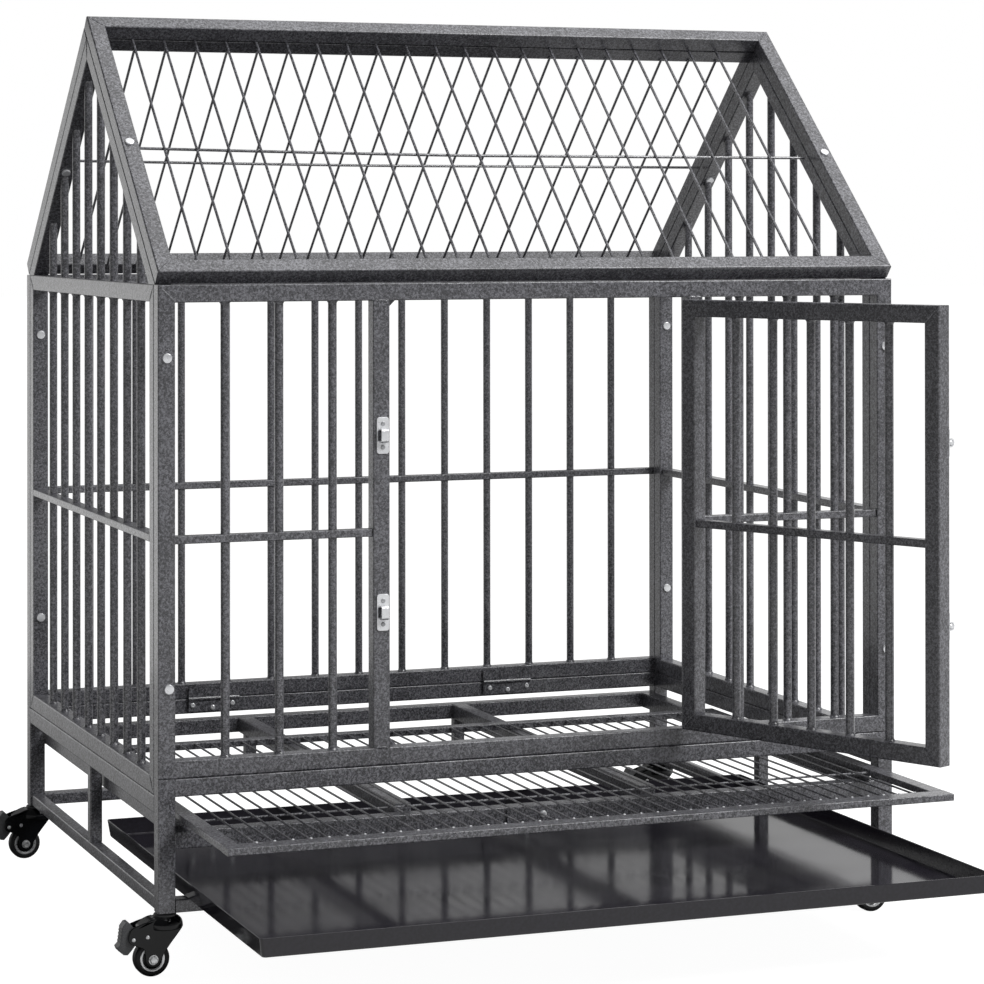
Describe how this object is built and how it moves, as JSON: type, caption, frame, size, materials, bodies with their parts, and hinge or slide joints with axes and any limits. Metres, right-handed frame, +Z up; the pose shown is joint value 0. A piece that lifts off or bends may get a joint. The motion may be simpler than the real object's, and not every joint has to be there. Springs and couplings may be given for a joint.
{
  "type": "dog crate",
  "caption": "House-shaped steel dog crate on locking casters, with a gabled mesh roof, a swinging front door with slide bolts, and a pull-out floor grid and tray.",
  "frame": {"origin": "centre of the bounding box on the floor, with the door open and the grid and tray pulled out", "axes": "+X to the right along the front, +Y to the back, +Z up; the door, grid and tray are on the -Y side"},
  "size_m": [0.9776, 1.0578, 1.0933],
  "materials": {
    "hammered_coat": "hammered silver-vein powder coat",
    "tray_enamel": "glossy dark enamel",
    "zinc": "bright zinc",
    "black_steel": "satin black",
    "black_nylon": "gloss black",
    "grey_nylon": "matt dark grey",
    "tyre_rubber": "matt black"
  },
  "bodies": {
    "crate": {"front_panel": "hammered_coat", "back_panel": "hammered_coat", "left_side_panel": "hammered_coat", "right_side_panel": "hammered_coat", "roof_front_panel": "hammered_coat", "roof_back_panel": "hammered_coat", "base_front_frame": "hammered_coat", "base_back_frame": "hammered_coat", "base_left_frame": "hammered_coat", "base_right_frame": "hammered_coat", "left_shelf_rail": "hammered_coat", "right_shelf_rail": "hammered_coat", "left_cross_bar": "hammered_coat", "right_cross_bar": "hammered_coat", "left_fold_hinge_lower": "hammered_coat", "left_fold_hinge_upper": "hammered_coat", "right_fold_hinge_lower": "hammered_coat", "right_fold_hinge_upper": "hammered_coat", "upper_hinge_post_leaf": "black_steel", "lower_hinge_post_leaf": "black_steel", "upper_hinge_pin": "black_steel", "lower_hinge_pin": "black_steel", "upper_keeper": "zinc", "lower_keeper": "zinc", "turn_catch_bolt": "zinc", "caster_front_left_stem": "black_steel", "caster_front_right_stem": "black_steel", "caster_back_left_stem": "black_steel", "caster_back_right_stem": "black_steel"},
    "door": {"door_frame": "hammered_coat", "upper_hinge_door_leaf": "black_steel", "lower_hinge_door_leaf": "black_steel", "upper_latch_housing": "zinc", "lower_latch_housing": "zinc"},
    "upper_bolt": {"upper_latch_bolt": "zinc"},
    "lower_bolt": {"lower_latch_bolt": "zinc"},
    "grid": {"floor_grid": "hammered_coat"},
    "drip_tray": {"tray": "tray_enamel"},
    "catch": {"turn_catch": "hammered_coat"},
    "swivel_front_left": {"caster_front_left_fork": "black_nylon", "caster_front_left_axle": "zinc"},
    "wheel_front_left": {"caster_front_left_tyre": "tyre_rubber", "caster_front_left_hub": "black_nylon"},
    "pedal_front_left": {"caster_front_left_pedal": "grey_nylon"},
    "swivel_front_right": {"caster_front_right_fork": "black_nylon", "caster_front_right_axle": "zinc"},
    "wheel_front_right": {"caster_front_right_tyre": "tyre_rubber", "caster_front_right_hub": "black_nylon"},
    "pedal_front_right": {"caster_front_right_pedal": "grey_nylon"},
    "swivel_back_left": {"caster_back_left_fork": "black_nylon", "caster_back_left_axle": "zinc"},
    "wheel_back_left": {"caster_back_left_tyre": "tyre_rubber", "caster_back_left_hub": "black_nylon"},
    "pedal_back_left": {"caster_back_left_pedal": "grey_nylon"},
    "swivel_back_right": {"caster_back_right_fork": "black_nylon", "caster_back_right_axle": "zinc"},
    "wheel_back_right": {"caster_back_right_tyre": "tyre_rubber", "caster_back_right_hub": "black_nylon"},
    "pedal_back_right": {"caster_back_right_pedal": "grey_nylon"}
  },
  "joints": [
    {"name": "door_hinge", "type": "hinge", "parent": "crate", "child": "door", "pos_m": [0.20875, -0.1806, 0.495], "axis": [0, 0, 1], "range_deg": [-115.5, 60]},
    {"name": "upper_bolt_slide", "type": "slide", "parent": "door", "child": "upper_bolt", "axis": [0.4305, -0.9026, 0], "range_m": [0, 0.012]},
    {"name": "lower_bolt_slide", "type": "slide", "parent": "door", "child": "lower_bolt", "axis": [0.4305, -0.9026, 0], "range_m": [0, 0.012]},
    {"name": "grid_slide", "type": "slide", "parent": "crate", "child": "grid", "axis": [0, 1, 0], "range_m": [-0.2, 0.197]},
    {"name": "tray_slide", "type": "slide", "parent": "crate", "child": "drip_tray", "axis": [0, 1, 0], "range_m": [-0.1, 0.3]},
    {"name": "catch_turn", "type": "hinge", "parent": "crate", "child": "catch", "pos_m": [0.01875, -0.1779, 0.1505], "axis": [0, -1, 0], "range_deg": [-12, 12]},
    {"name": "swivel_turn_front_left", "type": "hinge", "parent": "crate", "child": "swivel_front_left", "pos_m": [-0.43125, -0.1661, 0.0695], "axis": [0, 0, 1], "continuous": true},
    {"name": "wheel_spin_front_left", "type": "hinge", "parent": "swivel_front_left", "child": "wheel_front_left", "pos_m": [-0.44725, -0.1661, 0.02], "axis": [0, 1, 0], "continuous": true},
    {"name": "pedal_press_front_left", "type": "hinge", "parent": "swivel_front_left", "child": "pedal_front_left", "pos_m": [-0.46965, -0.1661, 0.0435], "axis": [0, -1, 0], "range_deg": [0, 10]},
    {"name": "swivel_turn_front_right", "type": "hinge", "parent": "crate", "child": "swivel_front_right", "pos_m": [0.46875, -0.1661, 0.0695], "axis": [0, 0, 1], "continuous": true},
    {"name": "wheel_spin_front_right", "type": "hinge", "parent": "swivel_front_right", "child": "wheel_front_right", "pos_m": [0.45275, -0.1661, 0.02], "axis": [0, 1, 0], "continuous": true},
    {"name": "pedal_press_front_right", "type": "hinge", "parent": "swivel_front_right", "child": "pedal_front_right", "pos_m": [0.43035, -0.1661, 0.0435], "axis": [0, -1, 0], "range_deg": [0, 10]},
    {"name": "swivel_turn_back_left", "type": "hinge", "parent": "crate", "child": "swivel_back_left", "pos_m": [-0.43125, 0.5089, 0.0695], "axis": [0, 0, 1], "continuous": true},
    {"name": "wheel_spin_back_left", "type": "hinge", "parent": "swivel_back_left", "child": "wheel_back_left", "pos_m": [-0.44725, 0.5089, 0.02], "axis": [0, 1, 0], "continuous": true},
    {"name": "pedal_press_back_left", "type": "hinge", "parent": "swivel_back_left", "child": "pedal_back_left", "pos_m": [-0.46965, 0.5089, 0.0435], "axis": [0, -1, 0], "range_deg": [0, 10]},
    {"name": "swivel_turn_back_right", "type": "hinge", "parent": "crate", "child": "swivel_back_right", "pos_m": [0.46875, 0.5089, 0.0695], "axis": [0, 0, 1], "continuous": true},
    {"name": "wheel_spin_back_right", "type": "hinge", "parent": "swivel_back_right", "child": "wheel_back_right", "pos_m": [0.45275, 0.5089, 0.02], "axis": [0, 1, 0], "continuous": true},
    {"name": "pedal_press_back_right", "type": "hinge", "parent": "swivel_back_right", "child": "pedal_back_right", "pos_m": [0.43035, 0.5089, 0.0435], "axis": [0, -1, 0], "range_deg": [0, 10]}
  ]
}
